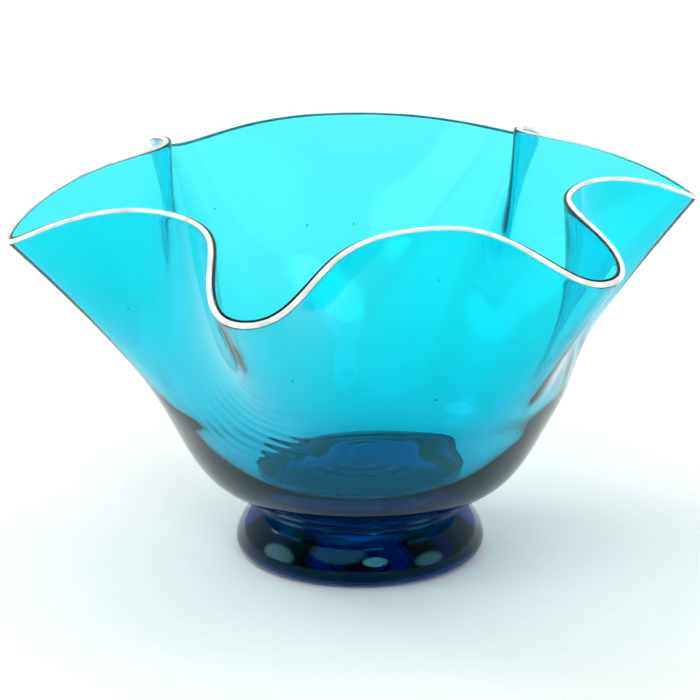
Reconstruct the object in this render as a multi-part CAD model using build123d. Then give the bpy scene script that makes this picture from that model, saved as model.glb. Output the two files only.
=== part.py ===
from build123d import *
import math
import os

# Hand-blown turquoise art glass bowl: a thick gather opened into a flaring wall, whose rim is
# drawn into six lobes and six folds, finished with an opal lip wrap and set on a collar and a foot.
# Millimetres, +Z up, origin at the centre of the ring that the foot stands on.

# --- Foot: an applied disc of glass, flared out and hollowed a little underneath ---
FOOT_R = 55.0
FOOT_WIDEST_Z = 6.5
FOOT_TOP_R = 46.0
FOOT_TOP_Z = 22.0
FOOT_RING_OUT_R = 49.0
FOOT_RING_IN_R = 42.0
FOOT_HOLLOW = 3.5

# --- Collar: the short neck of glass, tooled in fine steps, that joins the bowl to the foot ---
COLLAR_TOP_R = 47.0
COLLAR_TOP_Z = 31.0
COLLAR_STEPS = 3
COLLAR_STEP_IN = 0.6

# --- Bowl, lower body: outside and inside profiles as (radius, height) ---
OUTSIDE = [
    (COLLAR_TOP_R, COLLAR_TOP_Z),
    (57.0, 32.2),
    (64.5, 36.0),
    (71.5, 43.2),
    (78.0, 53.5),
    (83.5, 64.0),
    (88.0, 72.6),
]
INSIDE = [
    (30.0, 39.3),
    (46.0, 39.7),
    (54.0, 40.6),
    (60.5, 43.4),
    (67.0, 49.2),
    (73.0, 57.0),
    (79.0, 66.7),
    (83.8, 75.0),
]

# --- Bowl, ruffle: straight up the flare to a knee ring, then out or in to the rim ---
FLARE_R = 100.0
FLARE_Z = 95.0
RIM_OUTLINE = [  # seen from above, as (bearing in degrees, radius): four points to each lobe
    (5.0, 147.0), (21.0, 125.0), (46.0, 106.0), (50.0, 123.5),
    (54.0, 144.5), (70.5, 134.0), (89.0, 118.0), (110.0, 135.5),
    (124.5, 155.5), (138.0, 130.5), (151.0, 100.5), (179.0, 124.5),
    (197.0, 152.5), (212.0, 110.5), (240.0, 119.5), (251.0, 155.5),
    (256.0, 155.0), (267.0, 117.5), (294.5, 98.5), (308.5, 148.0),
    (314.0, 148.0), (323.0, 116.0), (339.0, 95.5), (352.0, 103.0),
]
BASE_TURN = 10.0  # bearing on the body of the line of wall that ends at the first tip

# --- Bowl, rim height: the wall is one length all round, a little longer at the back ---
HINGE_R = 92.0
HINGE_Z = 68.0
WALL_LENGTH = 103.0
WALL_EXTRA = 4.0

# --- Glass thickness up the ruffled wall, and the cut edge that the lip wrap covers ---
WALL_THICK = 4.6
RIM_THICK = 3.4
EDGE_SLANT = 1.0
WRAP_SHARE = 0.65  # of the width of the cut edge, from its outer corner
WRAP_RISE = 1.1

# --- How finely the ruffled wall is described ---
STEPS_ROUND = 120
STEPS_UP = 8
SECTORS = 24  # edges in each ring, so that a loft between rings is made of small faces


def polar(bearing, radius, height=0.0):
    angle = math.radians(bearing)
    return Vector(radius * math.cos(angle), radius * math.sin(angle), height)


def rim_height(point):
    """Height of the rim where it stands over this point of its outline."""
    length = WALL_LENGTH + WALL_EXTRA * math.sin(math.atan2(point.Y, point.X))
    reach = math.hypot(point.X, point.Y) - HINGE_R
    return HINGE_Z + math.sqrt(length**2 - reach**2)


def make_wall():
    """Grid of points on the outside of the ruffled wall, from the lower body to the rim."""
    outline = Edge.make_spline([polar(*spot) for spot in RIM_OUTLINE], periodic=True)
    ends = outline.positions([step / STEPS_ROUND for step in range(STEPS_ROUND)])
    wall = []
    for level in range(STEPS_UP + 1):
        t = level / STEPS_UP
        ring = []
        for step, end in enumerate(ends):
            bearing = BASE_TURN + 360 * step / STEPS_ROUND
            low = polar(bearing, *OUTSIDE[-1])
            knee = polar(bearing, FLARE_R, FLARE_Z)
            rim = Vector(end.X, end.Y, rim_height(end))
            ring.append(low * (1 - t) ** 2 + knee * 2 * t * (1 - t) + rim * t**2)
        wall.append(ring)
    return wall


def make_lining(wall):
    """The same grid moved in by the glass thickness, with its rim edge standing a little higher."""
    lining = []
    for level in range(1, STEPS_UP + 1):
        t = level / STEPS_UP
        thick = WALL_THICK + (RIM_THICK - WALL_THICK) * t
        lift = EDGE_SLANT if level == STEPS_UP else 0.0
        ring = []
        for step, point in enumerate(wall[level]):
            above = wall[min(level + 1, STEPS_UP)][step]
            below = wall[level - 1][step]
            up = (above - below).normalized()
            along = wall[level][(step + 1) % STEPS_ROUND] - wall[level][step - 1]
            out = along.cross(up).normalized()
            ring.append(point - out * thick + up * lift)
        lining.append(ring)
    return lining


def closed_ring(points):
    """A smooth closed ring through these points, in one spline for each sector."""
    count = STEPS_ROUND // SECTORS
    edges = []
    for first in range(0, STEPS_ROUND, count):
        last = (first + count) % STEPS_ROUND
        spots = [points[(first + step) % STEPS_ROUND] for step in range(count + 1)]
        ends = [points[(step + 1) % STEPS_ROUND] - points[step - 1] for step in (first, last)]
        edges.append(Edge.make_spline(spots, tangents=ends))
    return Wire(edges)


def round_ring(radius, height):
    return closed_ring(
        [polar(BASE_TURN + 360 * step / STEPS_ROUND, radius, height) for step in range(STEPS_ROUND)]
    )


def make_seat(wall, lining):
    """The line along the cut edge where the lip wrap ends and the bare glass begins."""
    return [outer + (inner - outer) * WRAP_SHARE for outer, inner in zip(wall[-1], lining[-1])]


def make_bowl(wall, lining):
    outer = [round_ring(*spot) for spot in OUTSIDE[:-1]] + [closed_ring(ring) for ring in wall]
    inner = [round_ring(*spot) for spot in INSIDE] + [closed_ring(ring) for ring in lining]
    edge = Shell.make_loft([outer[-1], closed_ring(make_seat(wall, lining)), inner[-1]], ruled=True)
    faces = Shell.make_loft(outer).faces() + Shell.make_loft(inner).faces() + edge.faces()
    return Solid(Shell(faces + [Face(outer[0]), Face(inner[0])]))


def make_lip_wrap(wall, lining):
    """An opal thread lying on the cut edge: flat where it touches the glass, low and round above."""
    outer = wall[-1]
    seat = make_seat(wall, lining)
    crown = []
    for step in range(STEPS_ROUND):
        up = (outer[step] - wall[-2][step]).normalized()
        crown.append((outer[step] + seat[step]) / 2 + up * WRAP_RISE)
    rings = [closed_ring(ring) for ring in (outer, crown, seat)]
    bed = Shell.make_loft([rings[0], rings[2]], ruled=True)
    return Solid(Shell(bed.faces() + Shell.make_loft(rings).faces()))


def make_collar():
    step_tall = (COLLAR_TOP_Z - FOOT_TOP_Z) / COLLAR_STEPS
    side = []
    for step in range(COLLAR_STEPS):
        z = FOOT_TOP_Z + step * step_tall
        r = FOOT_TOP_R + (COLLAR_TOP_R - FOOT_TOP_R) * step / COLLAR_STEPS
        side.append(ThreePointArc((r, 0, z), (r - COLLAR_STEP_IN, 0, z + step_tall / 2),
                                  (r + (COLLAR_TOP_R - FOOT_TOP_R) / COLLAR_STEPS, 0, z + step_tall)))
    outline = side + [
        Line((COLLAR_TOP_R, 0, COLLAR_TOP_Z), (0, 0, COLLAR_TOP_Z)),
        Line((0, 0, COLLAR_TOP_Z), (0, 0, FOOT_TOP_Z)),
        Line((0, 0, FOOT_TOP_Z), (FOOT_TOP_R, 0, FOOT_TOP_Z)),
    ]
    return revolve(make_face(outline), Axis.Z)


def make_foot():
    outline = [
        Spline((FOOT_TOP_R, 0, FOOT_TOP_Z), (51.0, 0, 17.0), (54.0, 0, 11.8), (FOOT_R, 0, FOOT_WIDEST_Z),
               tangents=[(1, 0, -0.8), (0, 0, -1)]),
        ThreePointArc((FOOT_R, 0, FOOT_WIDEST_Z), (53.0, 0, 1.8), (FOOT_RING_OUT_R, 0, 0)),
        Line((FOOT_RING_OUT_R, 0, 0), (FOOT_RING_IN_R, 0, 0)),
        TangentArc((0, 0, FOOT_HOLLOW), (FOOT_RING_IN_R, 0, 0), tangent=(1, 0, 0)),
        Line((0, 0, FOOT_HOLLOW), (0, 0, FOOT_TOP_Z)),
        Line((0, 0, FOOT_TOP_Z), (FOOT_TOP_R, 0, FOOT_TOP_Z)),
    ]
    return revolve(make_face(outline), Axis.Z)


wall = make_wall()
lining = make_lining(wall)
parts = {
    "bowl_body": make_bowl(wall, lining),
    "lip_wrap": make_lip_wrap(wall, lining),
    "collar": make_collar(),
    "foot": make_foot(),
}

os.makedirs("parts", exist_ok=True)
for node, shape in parts.items():
    shape.label = node
    export_step(shape, f"parts/{node}.step")
    box = shape.bounding_box()
    print(node, "valid", shape.is_valid, "volume", round(shape.volume), "size", box.size)
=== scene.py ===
import bpy
import math
import random
import numpy as np
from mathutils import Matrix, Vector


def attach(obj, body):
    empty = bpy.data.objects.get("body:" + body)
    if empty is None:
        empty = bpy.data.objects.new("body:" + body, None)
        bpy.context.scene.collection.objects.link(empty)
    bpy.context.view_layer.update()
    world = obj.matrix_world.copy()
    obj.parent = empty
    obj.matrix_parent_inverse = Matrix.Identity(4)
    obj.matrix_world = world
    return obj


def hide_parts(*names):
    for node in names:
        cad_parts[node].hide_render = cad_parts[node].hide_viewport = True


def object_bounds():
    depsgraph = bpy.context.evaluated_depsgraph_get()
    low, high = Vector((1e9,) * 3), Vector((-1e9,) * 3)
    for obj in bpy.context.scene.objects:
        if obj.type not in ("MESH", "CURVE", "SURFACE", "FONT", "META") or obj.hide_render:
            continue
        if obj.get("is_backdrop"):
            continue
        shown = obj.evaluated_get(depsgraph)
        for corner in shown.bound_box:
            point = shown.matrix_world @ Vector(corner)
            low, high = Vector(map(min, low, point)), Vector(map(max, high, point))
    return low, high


# a blown art glass bowl: clear turquoise wall drawn into six lobes, opal thread on the lip,
# short tooled collar and a flared foot; metres in Blender, millimetres in the dictionaries below

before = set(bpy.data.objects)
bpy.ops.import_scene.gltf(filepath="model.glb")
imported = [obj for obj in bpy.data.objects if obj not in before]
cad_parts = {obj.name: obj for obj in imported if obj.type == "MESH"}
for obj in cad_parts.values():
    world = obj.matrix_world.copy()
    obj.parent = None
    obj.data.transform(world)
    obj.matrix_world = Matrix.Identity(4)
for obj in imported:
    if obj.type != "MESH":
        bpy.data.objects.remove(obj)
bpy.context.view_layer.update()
mm = 0.001
print("frame loaded:", sorted(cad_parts))


def hexColour(code):
    # sRGB hex to the linear numbers a shader wants
    parts = [int(code[i:i + 2], 16) / 255 for i in (1, 3, 5)]
    return [p / 12.92 if p <= 0.04045 else ((p + 0.055) / 1.055) ** 2.4 for p in parts] + [1.0]


def addNode(tree, kind, settings=None, links=None):
    # settings go by attribute or by socket name or place, links are {socket: the output that feeds it}
    node = tree.nodes.new(kind)
    for name, value in (settings or {}).items():
        if isinstance(name, str) and hasattr(node, name):
            setattr(node, name, value)
        else:
            node.inputs[name].default_value = value
    for name, source in (links or {}).items():
        tree.links.new(source, node.inputs[name])
    return node


def newMaterial(name):
    made = bpy.data.materials.new(name)
    made.use_nodes = True
    made.node_tree.nodes.clear()
    return made


def putPiece(name, points, faces, material):
    mesh = bpy.data.meshes.new(name)
    mesh.from_pydata([tuple(p) for p in points], [], faces)
    mesh.materials.append(material)
    mesh.shade_smooth()
    mesh.update()
    piece = bpy.data.objects.new(name, mesh)
    bpy.context.scene.collection.objects.link(piece)
    return piece


def gridFaces(rows, columns):
    # quads of a sheet of rows x columns that is closed round, wound to face outwards when rows run upwards
    found = []
    for r in range(rows - 1):
        for c in range(columns):
            d = (c + 1) % columns
            a = r * columns
            found.append((a + c, a + d, a + columns + d, a + columns + c))
    return found


# shape of the bowl
bowl = {
    "columns": 420,
    # lower body, outside and inside, radius and height
    "outside": [(47.0, 31.0), (57.0, 32.2), (64.5, 36.0), (71.5, 43.2), (78.0, 53.5), (83.5, 64.0)],
    "inside": [(30.0, 39.3), (46.0, 39.7), (54.0, 40.6), (60.5, 43.4), (67.0, 49.2), (73.0, 57.0),
               (79.0, 66.7), (83.8, 75.0)],
    "low": (88.0, 72.6),        # where the ruffle begins
    "knee": (100.0, 95.0),      # the flare every line of wall aims at before it turns in or out
    # lip seen from above, bearing and radius, four points to a lobe
    "lip": [(5.0, 147.0), (21.0, 125.0), (46.0, 106.0), (50.0, 123.5),
            (54.0, 144.5), (70.5, 134.0), (89.0, 118.0), (110.0, 135.5),
            (124.5, 155.5), (138.0, 130.5), (151.0, 100.5), (179.0, 124.5),
            (197.0, 152.5), (212.0, 110.5), (240.0, 119.5), (251.0, 155.5),
            (256.0, 155.0), (267.0, 117.5), (294.5, 98.5), (308.5, 148.0),
            (314.0, 148.0), (323.0, 116.0), (339.0, 95.5), (352.0, 103.0)],
    "drawnIn": 0.0028,          # the flame draws the lip in by this share
    "turn": 10.0,               # bearing of the first line of wall
    "hinge": (92.0, 68.0),
    "wallLength": 103.0,        # the gather is blown even, so the wall is one length all round
    "wallExtra": 4.0,           # and a little longer at the back
    "thick": 4.6,
    "lipThick": 3.4,
    "slant": 1.0,               # the inner arris stands this much over the outer one
    "roundOut": 0.6,            # fire-polished corners of the cut lip
    "roundIn": 0.9,
    "levels": 8,                # steps up the ruffle that its shape is worked out at
    "outsideRows": [3, 3, 3, 3, 4, 3],      # rows of faces from each ring of the lower body to the next
    "insideRows": [3, 3, 3, 3, 3, 3, 3],
    "ruffleRows": 6,                        # and from each level of the ruffle to the next
}


def closedSpline(points, wanted, finely=200):
    # smooth closed curve through the points, read back at even steps along its length
    p = np.array(points, float)
    n = len(p)
    gap = np.linalg.norm(np.roll(p, -1, 0) - p, axis=1)
    m = np.zeros((n, n))
    right = np.zeros((n, 2))
    for i in range(n):
        before, after = gap[i - 1], gap[i]
        m[i, i - 1] += after
        m[i, i] += 2 * (before + after)
        m[i, (i + 1) % n] += before
        right[i] = 3 * (after * (p[i] - p[i - 1]) / before + before * (p[(i + 1) % n] - p[i]) / after)
    slope = np.linalg.solve(m, right)
    fine = []
    for i in range(n):
        t = np.linspace(0, 1, finely, endpoint=False)[:, None]
        a, b = p[i], p[(i + 1) % n]
        u, v = slope[i] * gap[i], slope[(i + 1) % n] * gap[i]
        fine.append(a * (2 * t**3 - 3 * t**2 + 1) + u * (t**3 - 2 * t**2 + t)
                    + b * (3 * t**2 - 2 * t**3) + v * (t**3 - t**2))
    fine = np.vstack(fine + [p[:1]])
    run = np.r_[0, np.cumsum(np.linalg.norm(np.diff(fine, axis=0), axis=1))]
    at = np.linspace(0, run[-1], wanted, endpoint=False)
    return np.column_stack([np.interp(at, run, fine[:, k]) for k in (0, 1)])


def smoothUp(rings, counts):
    # natural spline up every column through the rings, counts[i] steps between ring i and the next
    g = np.array(rings)
    n = len(g)
    gap = np.linalg.norm(np.diff(g, axis=0), axis=2).mean(1)
    m = np.zeros((n, n))
    flat = g.reshape(n, -1)
    right = np.zeros_like(flat)
    m[0, 0], m[0, 1], m[-1, -1], m[-1, -2] = 2, 1, 2, 1
    right[0] = 3 * (flat[1] - flat[0]) / gap[0]
    right[-1] = 3 * (flat[-1] - flat[-2]) / gap[-1]
    for i in range(1, n - 1):
        m[i, i - 1], m[i, i], m[i, i + 1] = gap[i], 2 * (gap[i - 1] + gap[i]), gap[i - 1]
        right[i] = 3 * (gap[i] * (flat[i] - flat[i - 1]) / gap[i - 1]
                        + gap[i - 1] * (flat[i + 1] - flat[i]) / gap[i])
    slope = np.linalg.solve(m, right)
    rows = []
    for i in range(n - 1):
        for t in np.arange(counts[i]) / counts[i]:
            rows.append(flat[i] * (2 * t**3 - 3 * t**2 + 1) + slope[i] * gap[i] * (t**3 - 2 * t**2 + t)
                        + flat[i + 1] * (3 * t**2 - 2 * t**3) + slope[i + 1] * gap[i] * (t**3 - t**2))
    rows.append(flat[-1])
    return np.array(rows).reshape(len(rows), g.shape[1], 3)


def unit(vectors):
    return vectors / np.linalg.norm(vectors, axis=-1, keepdims=True)


def roundRing(radius, height, bearings):
    return np.column_stack([radius * np.cos(bearings), radius * np.sin(bearings),
                            np.full(len(bearings), float(height))])


columns = bowl["columns"]
bearings = np.radians(bowl["turn"] + 360 * np.arange(columns) / columns)
lipPlan = closedSpline([(r * math.cos(math.radians(a)), r * math.sin(math.radians(a)))
                        for a, r in bowl["lip"]], columns) * (1 - bowl["drawnIn"])
lipReach = np.hypot(lipPlan[:, 0], lipPlan[:, 1]) - bowl["hinge"][0]
lipLength = bowl["wallLength"] + bowl["wallExtra"] * np.sin(np.arctan2(lipPlan[:, 1], lipPlan[:, 0]))
lip = np.column_stack([lipPlan, bowl["hinge"][1] + np.sqrt(lipLength**2 - lipReach**2)])

wall = []
for level in range(bowl["levels"] + 1):
    t = level / bowl["levels"]
    wall.append(roundRing(*bowl["low"], bearings) * (1 - t) ** 2
                + roundRing(*bowl["knee"], bearings) * 2 * t * (1 - t) + lip * t**2)
wall = np.array(wall)

lining = []
for level in range(1, bowl["levels"] + 1):
    t = level / bowl["levels"]
    above = wall[min(level + 1, bowl["levels"])]
    up = unit(above - wall[level - 1])
    along = np.roll(wall[level], -1, 0) - np.roll(wall[level], 1, 0)
    out = unit(np.cross(along, up))
    thick = bowl["thick"] + (bowl["lipThick"] - bowl["thick"]) * t
    lining.append(wall[level] - out * thick + up * (bowl["slant"] if level == bowl["levels"] else 0))
lining = np.array(lining)

outsideRings = [roundRing(r, z, bearings) for r, z in bowl["outside"]] + list(wall)
insideRings = [roundRing(r, z, bearings) for r, z in bowl["inside"]] + list(lining)
outer = smoothUp(outsideRings, bowl["outsideRows"] + [bowl["ruffleRows"]] * bowl["levels"])
inner = smoothUp(insideRings, bowl["insideRows"] + [bowl["ruffleRows"]] * bowl["levels"])
print("wall drawn:", outer.shape, inner.shape)

# cut edge of the lip, its two corners softened in the fire
rimUp = unit(wall[-1] - wall[-2])
liningUp = unit(lining[-1] - lining[-2])
edgeAcross = lining[-1] - wall[-1]
edgeWide = np.linalg.norm(edgeAcross, axis=1, keepdims=True)
edgeIn = edgeAcross / edgeWide


def softCorner(start, corner, end, steps):
    return [start * (1 - t) ** 2 + corner * 2 * t * (1 - t) + end * t**2
            for t in np.linspace(0, 1, steps)]


cutEdge = softCorner(wall[-1] - rimUp * bowl["roundOut"], wall[-1], wall[-1] + edgeIn * bowl["roundOut"], 5)
cutEdge += softCorner(lining[-1] - edgeIn * bowl["roundIn"], lining[-1],
                      lining[-1] - liningUp * bowl["roundIn"], 6)

# foot and collar, turned profiles
foot = {
    "widest": 55.0, "widestHeight": 6.5,
    "topRadius": 46.0, "topHeight": 22.0,
    "ringOut": 49.0, "ringIn": 42.0,
    "roundAt": (53.0, 1.8),     # the curve from the ring up to the widest place goes through here
    "flareLow": (0.0, 15.5),    # how the flare leaves the widest place and how it meets the collar
    "flareHigh": (-13.5, 10.0),
    # radii of the rings of faces across the underside, closer together at the edge of the scar
    "underside": (2.5, 6, 10, 14, 16, 16.8, 17.5, 18.2, 19, 24, 30, 36, 40, 41.3),
    "ring": (42.8, 46.0, 48.4),
    "eased": 0.05,              # the ring's inner edge is ground off by this much
    "hollow": 3.5,              # dished underside
    "scarRadius": 17.5,         # pontil mark, ground out and polished
    "scarDeep": 1.4,
}
collar = {
    "topRadius": 47.0, "topHeight": 31.0,
    "steps": 3,                 # rings left by the jacks
    "stepIn": 0.6,
}
swirl = {
    "rings": (8.0, 17.0, 26.0),     # faint rings in the floor, where the gather was opened
    "deep": 0.45, "wide": 2.2,
    "from": 28.5, "step": 1.5,      # the floor is drawn in from here, in steps of this
}


def arcThrough(a, b, c, steps):
    # points of the circle through three points, the last one left out
    (ax, ay), (bx, by), (cx, cy) = a, b, c
    d = 2 * (ax * (by - cy) + bx * (cy - ay) + cx * (ay - by))
    ux = ((ax**2 + ay**2) * (by - cy) + (bx**2 + by**2) * (cy - ay) + (cx**2 + cy**2) * (ay - by)) / d
    uy = ((ax**2 + ay**2) * (cx - bx) + (bx**2 + by**2) * (ax - cx) + (cx**2 + cy**2) * (bx - ax)) / d
    radius = math.hypot(ax - ux, ay - uy)
    first, middle, last = [math.atan2(y - uy, x - ux) for x, y in (a, b, c)]
    while abs(middle - first) > math.pi:
        middle += math.copysign(2 * math.pi, first - middle)
    while abs(last - middle) > math.pi:
        last += math.copysign(2 * math.pi, middle - last)
    return [(ux + radius * math.cos(first + (last - first) * k / steps),
             uy + radius * math.sin(first + (last - first) * k / steps)) for k in range(steps)]


def hermite(a, b, slopeA, slopeB, steps):
    rows = []
    for k in range(steps):
        t = k / steps
        weights = (2 * t**3 - 3 * t**2 + 1, t**3 - 2 * t**2 + t, 3 * t**2 - 2 * t**3, t**3 - t**2)
        rows.append(tuple(weights[0] * a[i] + weights[1] * slopeA[i] + weights[2] * b[i]
                          + weights[3] * slopeB[i] for i in (0, 1)))
    return rows


dish = (foot["ringIn"] ** 2 + foot["hollow"] ** 2) / (2 * foot["hollow"])
turned = []
for radius in foot["underside"]:
    height = foot["hollow"] - dish + math.sqrt(dish**2 - radius**2)
    scar = max(0.0, 1 - (radius / foot["scarRadius"]) ** 4)
    turned.append((radius, height + foot["scarDeep"] * scar))
turned += [(foot["ringIn"], foot["eased"])] + [(radius, 0.0) for radius in foot["ring"]]
widest = (foot["widest"], foot["widestHeight"])
turned += arcThrough((foot["ringOut"], 0.0), foot["roundAt"], widest, 9)
turned += hermite(widest, (foot["topRadius"], foot["topHeight"]), foot["flareLow"], foot["flareHigh"], 15)
stepTall = (collar["topHeight"] - foot["topHeight"]) / collar["steps"]
stepOut = (collar["topRadius"] - foot["topRadius"]) / collar["steps"]
for step in range(collar["steps"]):
    low, high = foot["topHeight"] + step * stepTall, foot["topHeight"] + (step + 1) * stepTall
    narrow = foot["topRadius"] + step * stepOut
    turned += arcThrough((narrow, low), (narrow - collar["stepIn"], (low + high) / 2),
                         (narrow + stepOut, high), 7)
print("foot and collar turned:", len(turned), "rows")

# one skin for the fused glass, from the middle of the underside round to the middle of the floor
rows = [roundRing(r, z, bearings) for r, z in turned]
rows += list(outer[:-1])
rows += cutEdge
rows += list(inner[-2::-1])
floorHeight = bowl["inside"][0][1]
for radius in np.arange(swirl["from"], swirl["step"] / 2, -swirl["step"]):
    dip = sum(math.exp(-((radius - ring) / swirl["wide"]) ** 2) for ring in swirl["rings"])
    rows.append(roundRing(radius, floorHeight - swirl["deep"] * dip, bearings))
skin = np.array(rows)
print("skin rows:", skin.shape)

points = list(skin.reshape(-1, 3) * mm)
faces = gridFaces(len(skin), columns)
footPole, floorPole = len(points), len(points) + 1
points += [np.array([0, 0, height * mm]) for height in (foot["hollow"] + foot["scarDeep"], floorHeight)]
topRow = (len(skin) - 1) * columns
for c in range(columns):
    d = (c + 1) % columns
    faces.append((footPole, d, c))
    faces.append((floorPole, topRow + c, topRow + d))

# seeds, the small bubbles left in hand-gathered glass: bearing, share of the way up, width and height;
# the placed ones are drawn a little larger than life, so that they show
seeds = {
    "placed": [(103, 0.62, 1.0, 1.3), (93, 0.58, 0.9, 1.6), (176, 0.50, 1.1, 1.1), (196, 0.45, 0.9, 1.4),
               (289, 0.30, 1.1, 1.1), (122, 0.80, 0.8, 1.1), (70, 0.35, 0.8, 0.9), (256, 0.66, 0.8, 1.1)],
    "stray": 22,                # smaller ones, anywhere
    "around": 10, "high": 6,    # faces round each bubble and rows up it
}
chance = random.Random(11)
strays = [(chance.uniform(0, 360), chance.uniform(0.05, 0.95), chance.uniform(0.25, 0.5),
           chance.uniform(0.3, 0.9)) for _ in range(seeds["stray"])]
spots = seeds["placed"] + strays
# each bubble is a hollow, so its faces look in towards its own middle
for bearing, share, wide, tall in spots:
    level = 1 + min(int(share * (bowl["levels"] - 1)), bowl["levels"] - 2)
    column = int((bearing - bowl["turn"]) / 360 * columns) % columns
    centre = (wall[level][column] + lining[level - 1][column]) / 2
    rise = unit(wall[level + 1][column] - wall[level][column])
    through = unit(lining[level - 1][column] - wall[level][column])
    side = np.cross(rise, through)
    start, around, high = len(points), seeds["around"], seeds["high"]
    for k in range(1, high):
        lift, ring = math.cos(math.pi * k / high), math.sin(math.pi * k / high)
        for c in range(around):
            turn = 2 * math.pi * c / around
            outward = side * math.cos(turn) + through * math.sin(turn)
            points.append((centre + rise * lift * tall / 2 + outward * ring * wide / 2) * mm)
    top, bottom, last = len(points), len(points) + 1, start + (high - 2) * around
    points += [(centre + rise * tall / 2) * mm, (centre - rise * tall / 2) * mm]
    for c in range(around):
        d = (c + 1) % around
        for k in range(high - 2):
            a = start + k * around
            faces.append((a + c, a + around + c, a + around + d, a + d))
        faces.append((top, start + c, start + d))
        faces.append((bottom, last + d, last + c))
print("seeds blown in:", len(spots))

# soda-lime art glass coloured with copper: smooth from the fire, so it shows clean highlights,
# pale sky blue through one wall, turquoise through two and navy where light crosses the thick foot
glass = {
    "absorb": "#24F7FB", "perMetre": 700.0,
    "ior": 1.5,
    "sheen": "#50B2C2",         # the reflections take up a little of the glass's own colour
    "heave": 30.0, "heaveDeep": 0.30,                  # slow unevenness of a hand-blown wall
    "cloud": 12.0, "gloss": (0.0, 0.02),               # faint bloom left by the flame
    "heaveFrom": 60.0, "heaveTo": 100.0,               # the body below was shaped smooth on wet wood
    "chillRound": (-28.0, -106.0, 125.0),              # the sweep of the tool that drew the fold in
    "chillAt": (-46.0, -80.0, 84.0),                   # where its chill lines are
    "chillWide": 5.6, "chillDeep": 0.03, "chillNear": 8.0, "chillFar": 32.0,
    "chillDrift": 9.0,                                 # how far they wander with the heave, in radians
}
turquoise = newMaterial("turquoiseBlownGlass")
tree = turquoise.node_tree
place = addNode(tree, "ShaderNodeTexCoord")
heave = addNode(tree, "ShaderNodeTexNoise", {"Scale": 1 / (glass["heave"] * mm), "Detail": 1.0},
                {"Vector": place.outputs["Object"]})
level = addNode(tree, "ShaderNodeSeparateXYZ", None, {"Vector": place.outputs["Object"]})
loose = addNode(tree, "ShaderNodeMapRange",
                {"interpolation_type": "SMOOTHSTEP", "From Min": glass["heaveFrom"] * mm,
                 "From Max": glass["heaveTo"] * mm}, {"Value": level.outputs["Z"]})
swell = addNode(tree, "ShaderNodeMath", {"operation": "MULTIPLY"},
                {0: heave.outputs["Fac"], 1: loose.outputs["Result"]})
uneven = addNode(tree, "ShaderNodeBump", {"Strength": 1.0, "Distance": glass["heaveDeep"] * mm},
                 {"Height": swell.outputs["Value"]})
# chill lines, arcs left low on the wall by the tool that drew the fold in
sweep = addNode(tree, "ShaderNodeVectorMath",
                {"operation": "DISTANCE", 1: [x * mm for x in glass["chillRound"]]},
                {0: place.outputs["Object"]})
away = addNode(tree, "ShaderNodeVectorMath",
               {"operation": "DISTANCE", 1: [x * mm for x in glass["chillAt"]]},
               {0: place.outputs["Object"]})
phase = addNode(tree, "ShaderNodeMath",
                {"operation": "MULTIPLY", 1: 2 * math.pi / (glass["chillWide"] * mm)},
                {0: sweep.outputs["Value"]})
drift = addNode(tree, "ShaderNodeMath", {"operation": "MULTIPLY_ADD", 1: glass["chillDrift"]},
                {0: heave.outputs["Fac"], 2: phase.outputs["Value"]})
rings = addNode(tree, "ShaderNodeMath", {"operation": "SINE"}, {0: drift.outputs["Value"]})
fade = addNode(tree, "ShaderNodeMapRange",
               {"interpolation_type": "SMOOTHSTEP", "From Min": glass["chillNear"] * mm,
                "From Max": glass["chillFar"] * mm, "To Min": 1.0, "To Max": 0.0},
               {"Value": away.outputs["Value"]})
chill = addNode(tree, "ShaderNodeMath", {"operation": "MULTIPLY"},
                {0: rings.outputs["Value"], 1: fade.outputs["Result"]})
tooled = addNode(tree, "ShaderNodeBump", {"Strength": 1.0, "Distance": glass["chillDeep"] * mm},
                 {"Height": chill.outputs["Value"], "Normal": uneven.outputs["Normal"]})
cloud = addNode(tree, "ShaderNodeTexNoise", {"Scale": 1 / (glass["cloud"] * mm), "Detail": 3.0},
                {"Vector": place.outputs["Object"]})
bloom = addNode(tree, "ShaderNodeMapRange",
                {"From Min": 0.35, "From Max": 0.75,
                 "To Min": glass["gloss"][0], "To Max": glass["gloss"][1]},
                {"Value": cloud.outputs["Fac"]})
shader = addNode(tree, "ShaderNodeBsdfPrincipled",
                 {"Base Color": hexColour("#FFFFFF"), "IOR": glass["ior"], "Transmission Weight": 1.0,
                  "Specular Tint": hexColour(glass["sheen"])},
                 {"Roughness": bloom.outputs["Result"], "Normal": tooled.outputs["Normal"]})
depth = addNode(tree, "ShaderNodeVolumeAbsorption",
                {"Color": hexColour(glass["absorb"]), "Density": glass["perMetre"]})
addNode(tree, "ShaderNodeOutputMaterial", None,
        {"Surface": shader.outputs["BSDF"], "Volume": depth.outputs["Volume"]})

fusedGlass = putPiece("fusedGlass", points, faces, turquoise)
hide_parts("bowl_body", "collar", "foot")
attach(fusedGlass, "root")
print("glass made:", len(faces), "faces")

# opal thread on the lip, its underside sunk a little into the cut edge
wrap = {
    "share": 0.65,              # of the width of the cut edge, from its outer corner
    "rise": 1.05, "sunk": 0.4,
    "round": 18,                # faces round the thread
}
wrapUp = unit(rimUp - edgeIn * np.sum(rimUp * edgeIn, axis=1, keepdims=True))
middle = wall[-1] + edgeAcross * wrap["share"] / 2
wrapRows = []
for k in range(wrap["round"]):
    turn = 2 * math.pi * k / wrap["round"]
    rise = wrap["rise"] if math.sin(turn) > 0 else wrap["sunk"]
    across = edgeAcross * wrap["share"] / 2 * math.cos(turn)
    wrapRows.append(middle - across + wrapUp * rise * math.sin(turn))
wrapSkin = np.array(wrapRows)
wrapFaces = []
for k in range(wrap["round"]):
    n = (k + 1) % wrap["round"]
    for c in range(columns):
        d = (c + 1) % columns
        wrapFaces.append((k * columns + c, k * columns + d, n * columns + d, n * columns + c))

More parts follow.
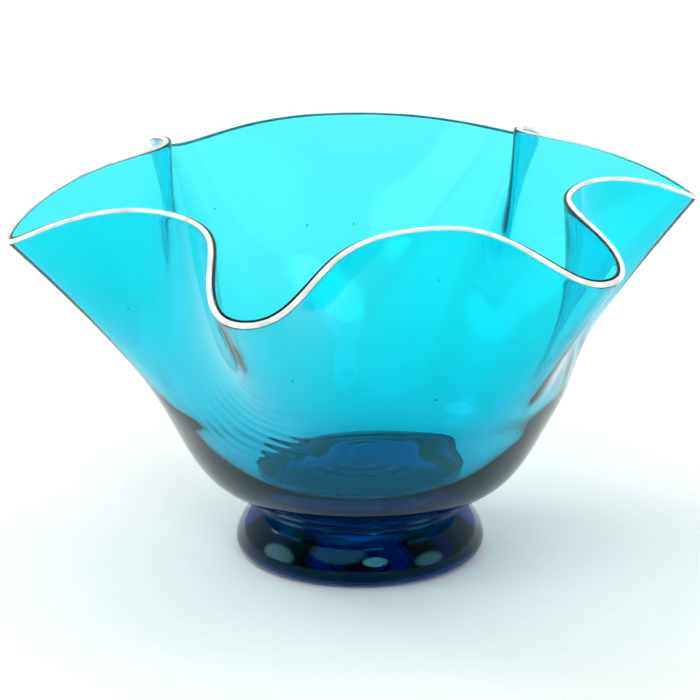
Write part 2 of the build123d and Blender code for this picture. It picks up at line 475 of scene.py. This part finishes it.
# opal glass pulled into a thread: milky with a greyer cast where it thins, wet-looking, a little lumpy
thread = {"milk": "#F0F0EA", "thin": "#C6CAC4", "cloud": 9.0, "grain": 2.2, "grainDeep": 0.06}
opal = newMaterial("opalGlassThread")
tree = opal.node_tree
place = addNode(tree, "ShaderNodeTexCoord")
cloud = addNode(tree, "ShaderNodeTexNoise", {"Scale": 1 / (thread["cloud"] * mm), "Detail": 3.0},
                {"Vector": place.outputs["Object"]})
spread = addNode(tree, "ShaderNodeMapRange", {"From Min": 0.3, "From Max": 0.6},
                 {"Value": cloud.outputs["Fac"]})
milk = addNode(tree, "ShaderNodeMix",
               {"data_type": "RGBA", 6: hexColour(thread["thin"]), 7: hexColour(thread["milk"])},
               {0: spread.outputs["Result"]})
wet = addNode(tree, "ShaderNodeMapRange", {"From Min": 0.3, "From Max": 0.7, "To Min": 0.06, "To Max": 0.2},
              {"Value": cloud.outputs["Fac"]})
grain = addNode(tree, "ShaderNodeTexNoise", {"Scale": 1 / (thread["grain"] * mm), "Detail": 1.0},
                {"Vector": place.outputs["Object"]})
lumps = addNode(tree, "ShaderNodeBump", {"Strength": 1.0, "Distance": thread["grainDeep"] * mm},
                {"Height": grain.outputs["Fac"]})
shader = addNode(tree, "ShaderNodeBsdfPrincipled", {"IOR": 1.5},
                 {"Base Color": milk.outputs[2], "Roughness": wet.outputs["Result"],
                  "Normal": lumps.outputs["Normal"]})
addNode(tree, "ShaderNodeOutputMaterial", None, {"Surface": shader.outputs["BSDF"]})
lipWrap = putPiece("lipWrap", list(wrapSkin.reshape(-1, 3) * mm), wrapFaces, opal)
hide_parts("lip_wrap")
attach(lipWrap, "root")
print("lip wrap made:", len(wrapFaces), "faces")

# matt white emulsion rolled on board: even, with the faint dapple of the roller
paint = {"white": "#F8F8F6", "dull": "#F3F3F0", "dapple": 7.0, "dappleDeep": 0.05, "gloss": (0.6, 0.75)}
rolled = newMaterial("rolledEmulsionPaint")
tree = rolled.node_tree
place = addNode(tree, "ShaderNodeTexCoord")
dapple = addNode(tree, "ShaderNodeTexNoise", {"Scale": 1 / (paint["dapple"] * mm), "Detail": 2.0},
                 {"Vector": place.outputs["Object"]})
tone = addNode(tree, "ShaderNodeMix",
               {"data_type": "RGBA", 6: hexColour(paint["dull"]), 7: hexColour(paint["white"])},
               {0: dapple.outputs["Fac"]})
rough = addNode(tree, "ShaderNodeMapRange", {"To Min": paint["gloss"][0], "To Max": paint["gloss"][1]},
                {"Value": dapple.outputs["Fac"]})
stipple = addNode(tree, "ShaderNodeBump", {"Strength": 1.0, "Distance": paint["dappleDeep"] * mm},
                  {"Height": dapple.outputs["Fac"]})
shader = addNode(tree, "ShaderNodeBsdfPrincipled", None,
                 {"Base Color": tone.outputs[2], "Roughness": rough.outputs["Result"],
                  "Normal": stipple.outputs["Normal"]})
addNode(tree, "ShaderNodeOutputMaterial", None, {"Surface": shader.outputs["BSDF"]})
far = 25.0  # metres from the bowl to the edge of the floor
floor = putPiece("studioFloor", [(-far, -far, 0), (far, -far, 0), (far, far, 0), (-far, far, 0)],
                 [(0, 1, 2, 3)], rolled)
floor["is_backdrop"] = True

# soft boxes with feathered edges: where each one stands, half its width in degrees, feather and strength
studio = {
    "wall": 0.61,               # white wall behind the bowl
    "front": 0.10,              # dim room on the near side
    "dimFrom": 0.3, "dimTo": -0.7,  # the wall's light fades towards the near side between these
    "boxes": [((-0.35, -0.75, 0.80), 16, 10, 1.9),
              ((0.22, -0.84, 0.46), 8, 4, 8.0),
              ((-0.98, -0.15, 0.20), 11, 9, 4.0),
              ((0.92, -0.40, 0.22), 9, 8, 3.5),
              ((-0.68, 0.28, 0.68), 7, 6, 6.0),
              ((0.10, 0.20, 1.00), 30, 20, 0.8)],
}
world = bpy.data.worlds.new("studio")
bpy.context.scene.world = world
world.use_nodes = True
tree = world.node_tree
tree.nodes.clear()
direction = addNode(tree, "ShaderNodeTexCoord")
split = addNode(tree, "ShaderNodeSeparateXYZ", None, {"Vector": direction.outputs["Generated"]})
total = addNode(tree, "ShaderNodeMapRange",
                {"interpolation_type": "SMOOTHSTEP",
                 "From Min": studio["dimTo"], "From Max": studio["dimFrom"],
                 "To Min": studio["front"], "To Max": studio["wall"]},
                {"Value": split.outputs["Y"]}).outputs["Result"]
for place, half, feather, strength in studio["boxes"]:
    size = math.sqrt(sum(x * x for x in place))
    facing = addNode(tree, "ShaderNodeVectorMath",
                     {"operation": "DOT_PRODUCT", 1: [x / size for x in place]},
                     {0: direction.outputs["Generated"]})
    glow = addNode(tree, "ShaderNodeMapRange",
                   {"interpolation_type": "SMOOTHSTEP",
                    "From Min": math.cos(math.radians(half + feather)),
                    "From Max": math.cos(math.radians(half)),
                    "To Min": 0.0, "To Max": strength}, {"Value": facing.outputs["Value"]})
    total = addNode(tree, "ShaderNodeMath", {"operation": "ADD"},
                    {0: total, 1: glow.outputs["Result"]}).outputs["Value"]
sky = addNode(tree, "ShaderNodeBackground", {"Color": hexColour("#FFFFFF")}, {"Strength": total})
addNode(tree, "ShaderNodeOutputWorld", None, {"Surface": sky.outputs["Background"]})
print("studio lit")

# a long lens, some way off and looking a little down; "aim" is the height that it looks at
camera = {"away": 1150.0, "up": 16.6, "aim": 91.25, "lens": 135.4, "shift": -0.0143}
data = bpy.data.cameras.new("camera")
data.sensor_width, data.lens, data.shift_x = 36.0, camera["lens"], camera["shift"]
data.clip_start, data.clip_end = 0.05, 60
eye = bpy.data.objects.new("camera", data)
bpy.context.scene.collection.objects.link(eye)
tilt = math.radians(camera["up"])
eye.location = (0, -camera["away"] * math.cos(tilt) * mm,
                (camera["aim"] + camera["away"] * math.sin(tilt)) * mm)
eye.rotation_euler = (math.pi / 2 - tilt, 0, 0)
bpy.context.scene.camera = eye
bpy.context.scene.view_settings.view_transform = "Standard"

low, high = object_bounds()
